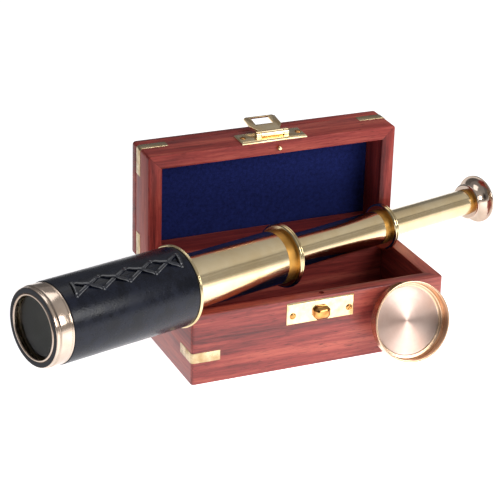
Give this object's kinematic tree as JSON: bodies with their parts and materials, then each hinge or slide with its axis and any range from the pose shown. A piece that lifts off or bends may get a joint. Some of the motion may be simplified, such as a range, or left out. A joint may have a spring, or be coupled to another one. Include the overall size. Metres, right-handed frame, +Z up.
{
  "type": "spyglass with wooden box",
  "caption": "Brass spyglass of sliding draws with a leather-wrapped barrel, lying across its open hinged wooden box, with its lens cap leaning on the box front.",
  "frame": {"origin": "centre of the box's underside, where it stands on the table", "axes": "+X along the box's length, to the right when facing its catch; +Y from the catch side to the hinge side; +Z up"},
  "size_m": [0.3537, 0.1484, 0.128],
  "materials": {
    "rosewood": "satin varnish over reddish-brown rosewood with darker grain",
    "felt": "short navy felt",
    "box_brass": "bright yellow polished brass",
    "turned_brass": "polished brass, slightly pinkish, with fine turning marks",
    "tube_brass": "polished pale brass tube",
    "band_brass": "amber polished brass",
    "leather": "black leather with a soft sheen, laced along its seam",
    "lens_glass": "clear polished glass"
  },
  "bodies": {
    "box": {"base_front_wall": "rosewood", "base_back_wall": "rosewood", "base_left_wall": "rosewood", "base_right_wall": "rosewood", "base_floor": "rosewood", "base_lining": "felt", "base_strap_front_left": "box_brass", "base_strap_front_right": "box_brass", "base_strap_back_left": "box_brass", "base_strap_back_right": "box_brass", "catch_plate": "box_brass", "catch_hook": "box_brass", "catch_screw_left": "box_brass", "catch_screw_right": "box_brass", "hinge_leaf_base_left": "box_brass", "hinge_leaf_base_right": "box_brass", "hinge_pin_left": "box_brass", "hinge_pin_right": "box_brass"},
    "lid": {"lid_front_wall": "rosewood", "lid_back_wall": "rosewood", "lid_left_wall": "rosewood", "lid_right_wall": "rosewood", "lid_panel": "rosewood", "lid_lining": "felt", "lid_strap_front_left": "box_brass", "lid_strap_front_right": "box_brass", "lid_strap_back_left": "box_brass", "lid_strap_back_right": "box_brass", "locating_pin": "box_brass", "hasp_plate": "box_brass", "hasp_screw_left": "box_brass", "hasp_screw_right": "box_brass", "hasp_pin": "box_brass", "hinge_leaf_lid_left": "box_brass", "hinge_leaf_lid_right": "box_brass"},
    "hasp": {"hasp_flap": "box_brass"},
    "spyglass": {"objective_cell": "turned_brass", "retaining_ring": "turned_brass", "objective_lens": "lens_glass", "barrel_tube": "tube_brass", "leather_wrap": "leather", "rear_collar": "turned_brass"},
    "draw_1": {"draw_tube_1": "tube_brass", "draw_band_1": "band_brass", "draw_collar_1": "turned_brass"},
    "draw_2": {"draw_tube_2": "tube_brass", "draw_band_2": "band_brass", "draw_collar_2": "turned_brass"},
    "draw_3": {"draw_tube_3": "tube_brass", "draw_band_3": "band_brass", "erector_cell": "turned_brass", "erector_lens": "lens_glass", "eyepiece_ring": "turned_brass", "eyepiece_bell": "turned_brass", "eye_lens": "lens_glass"},
    "cap": {"lens_cap": "turned_brass"}
  },
  "joints": [
    {"name": "lid_hinge", "type": "hinge", "parent": "box", "child": "lid", "pos_m": [0, 0.0365, 0.046], "axis": [1, 0, 0], "range_deg": [0, 8]},
    {"name": "hasp_hinge", "type": "hinge", "parent": "lid", "child": "hasp", "pos_m": [0, 0.04114, 0.12379], "axis": [1, 0, 0], "range_deg": [0, 160]},
    {"name": "spyglass_lift", "type": "slide", "parent": "box", "child": "spyglass", "axis": [0, -0.5, 0.866], "range_m": [0, 0.12]},
    {"name": "draw_1_slide", "type": "slide", "parent": "spyglass", "child": "draw_1", "axis": [-0.954, -0.2984, 0.0305], "range_m": [0, 0.018]},
    {"name": "draw_2_slide", "type": "slide", "parent": "draw_1", "child": "draw_2", "axis": [-0.954, -0.2984, 0.0305], "range_m": [0, 0.018]},
    {"name": "draw_3_slide", "type": "slide", "parent": "draw_2", "child": "draw_3", "axis": [-0.954, -0.2984, 0.0305], "range_m": [0, 0.019]},
    {"name": "cap_lift", "type": "slide", "parent": "box", "child": "cap", "axis": [0, 0, 1], "range_m": [0, 0.08]}
  ]
}
